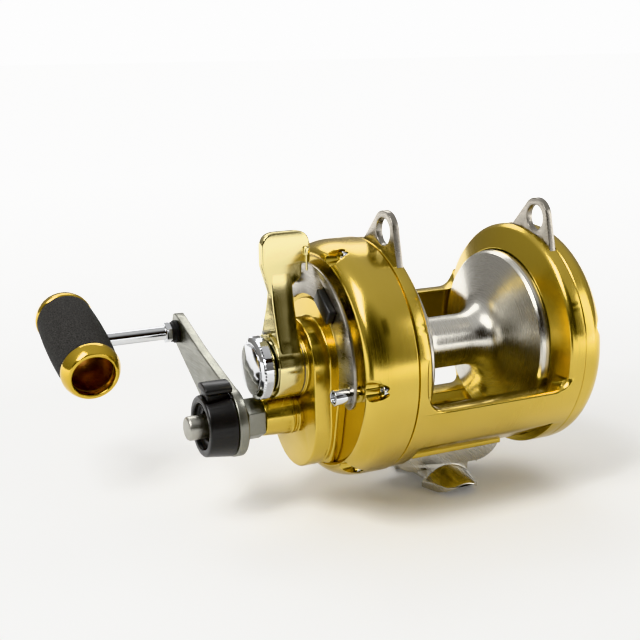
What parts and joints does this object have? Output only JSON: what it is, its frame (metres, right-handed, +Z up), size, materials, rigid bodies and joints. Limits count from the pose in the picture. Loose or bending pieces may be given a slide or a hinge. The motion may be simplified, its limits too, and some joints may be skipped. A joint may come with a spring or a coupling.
{
  "type": "trolling reel",
  "caption": "Two-speed lever-drag fishing reel with an open-topped one-piece frame, a T-bar crank, harness lugs and a foot for a rod seat.",
  "frame": {"origin": "crown of the foot's hollow underside, midway along the foot, where the rod seat bears", "axes": "+X along the spool axis away from the crank, -Y towards the rod tip, +Z up from the rod through the reel"},
  "size_m": [0.2188, 0.1471, 0.129],
  "materials": {
    "gold_anodised": "gold anodised, polished",
    "grip_cap_gold": "gold anodised, polished",
    "lever_gold": "pale gold anodised, polished",
    "polished_aluminium": "turned and polished",
    "cast_aluminium": "fine machined",
    "stainless": "ground stainless plate",
    "chrome": "bright chrome",
    "crank_steel": "satin stainless",
    "machined_steel": "machined",
    "bearing_steel": "ground",
    "bronze": "machined bronze",
    "black_moulding": "satin black moulding",
    "black_rubber": "black rubber",
    "drag_lining": "woven carbon friction lining",
    "satin_button": "satin turned",
    "foam": "closed-cell EVA foam, ground"
  },
  "bodies": {
    "frame": {"frame": "gold_anodised", "handle_side_plate": "gold_anodised", "free_side_plate": "gold_anodised", "gear_housing": "gold_anodised", "gear_bridge": "cast_aluminium", "shaft_sleeve": "gold_anodised", "quadrant_plate": "stainless", "quadrant_screw": "chrome", "quadrant_spacers": "chrome", "quadrant_standoff": "chrome", "harness_lug_left": "stainless", "harness_lug_right": "stainless", "lug_screws": "machined_steel", "handle_side_screws": "chrome", "free_side_screws": "chrome", "housing_screws": "machined_steel", "reel_foot": "polished_aluminium", "foot_screws": "machined_steel", "axle_bearing_right": "bearing_steel", "pinion_bearing": "bearing_steel", "crank_bearing_inner": "bearing_steel", "crank_bearing_outer": "bearing_steel", "lever_washer": "stainless"},
    "axle": {"spool_axle": "machined_steel"},
    "spool": {"spool": "polished_aluminium", "spool_bearings": "bearing_steel", "drag_washer": "drag_lining", "click_ratchet": "machined_steel"},
    "drive": {"drive_disc": "machined_steel", "pinion_cluster": "machined_steel"},
    "slow_gear": {"slow_gear": "bronze"},
    "crank": {"crank_shaft": "machined_steel", "fast_gear": "bronze", "crank_collar": "crank_steel", "crank_arm": "crank_steel", "shift_housing": "black_moulding", "knob_post": "chrome", "post_washers": "black_rubber", "post_screw": "machined_steel"},
    "grip": {"grip_core": "bronze", "grip_hub": "bronze", "grip_foam": "foam", "grip_cap_front": "grip_cap_gold", "grip_cap_rear": "grip_cap_gold"},
    "shift_button": {"shift_button": "satin_button", "shift_rod": "machined_steel"},
    "shift_latch": {"shift_latch": "black_moulding"},
    "drag_lever": {"drag_lever": "lever_gold", "lever_pin": "machined_steel", "lever_detent": "lever_gold", "lever_seal": "black_rubber"},
    "preset_knob": {"preset_knob": "chrome", "preset_cap": "chrome"},
    "strike_button": {"strike_button": "black_moulding"},
    "click_button": {"click_button": "gold_anodised", "click_pawl": "machined_steel"}
  },
  "joints": [
    {"name": "crank_spin", "type": "hinge", "parent": "frame", "child": "crank", "pos_m": [0, -0.004, 0.03815], "axis": [1, 0, 0], "continuous": true},
    {"name": "drive_spin", "type": "hinge", "parent": "frame", "child": "drive", "pos_m": [0, -0.008, 0.061], "axis": [1, 0, 0], "continuous": true},
    {"name": "slow_gear_spin", "type": "hinge", "parent": "frame", "child": "slow_gear", "pos_m": [0, -0.004, 0.03815], "axis": [1, 0, 0], "continuous": true},
    {"name": "axle_slide", "type": "slide", "parent": "frame", "child": "axle", "axis": [-1, 0, 0], "range_m": [0, 0.0012]},
    {"name": "spool_spin", "type": "hinge", "parent": "axle", "child": "spool", "pos_m": [0, -0.008, 0.061], "axis": [1, 0, 0], "continuous": true},
    {"name": "grip_spin", "type": "hinge", "parent": "crank", "child": "grip", "pos_m": [-0.1477, 0.05799, 0.06357], "axis": [1, 0, 0], "continuous": true},
    {"name": "shift_button_push", "type": "slide", "parent": "crank", "child": "shift_button", "axis": [1, 0, 0], "range_m": [0, 0.003]},
    {"name": "shift_latch_press", "type": "slide", "parent": "crank", "child": "shift_latch", "axis": [0, 0.1392, -0.9903], "range_m": [0, 0.0012], "stiffness_N_per_m": 600, "springref_m": -0.0008},
    {"name": "drag_lever_swing", "type": "hinge", "parent": "frame", "child": "drag_lever", "pos_m": [0, -0.008, 0.061], "axis": [1, 0, 0], "range_deg": [0, 88]},
    {"name": "preset_knob_turn", "type": "hinge", "parent": "axle", "child": "preset_knob", "pos_m": [0, -0.008, 0.061], "axis": [1, 0, 0], "range_deg": [-180, 180]},
    {"name": "strike_button_push", "type": "slide", "parent": "frame", "child": "strike_button", "axis": [1, 0, 0], "range_m": [0, 0.0016], "stiffness_N_per_m": 500, "springref_m": -0.001},
    {"name": "click_button_slide", "type": "slide", "parent": "frame", "child": "click_button", "axis": [0, 0.9239, 0.3827], "range_m": [0, 0.003]}
  ],
  "couplings": [
    {"joint": "drive_spin", "follows": "crank_spin", "ratio": -2.8667},
    {"joint": "spool_spin", "follows": "crank_spin", "ratio": -2.8667},
    {"joint": "slow_gear_spin", "follows": "crank_spin", "ratio": 1.7519},
    {"joint": "axle_slide", "follows": "drag_lever_swing", "m_per_rad": 0.00078}
  ]
}
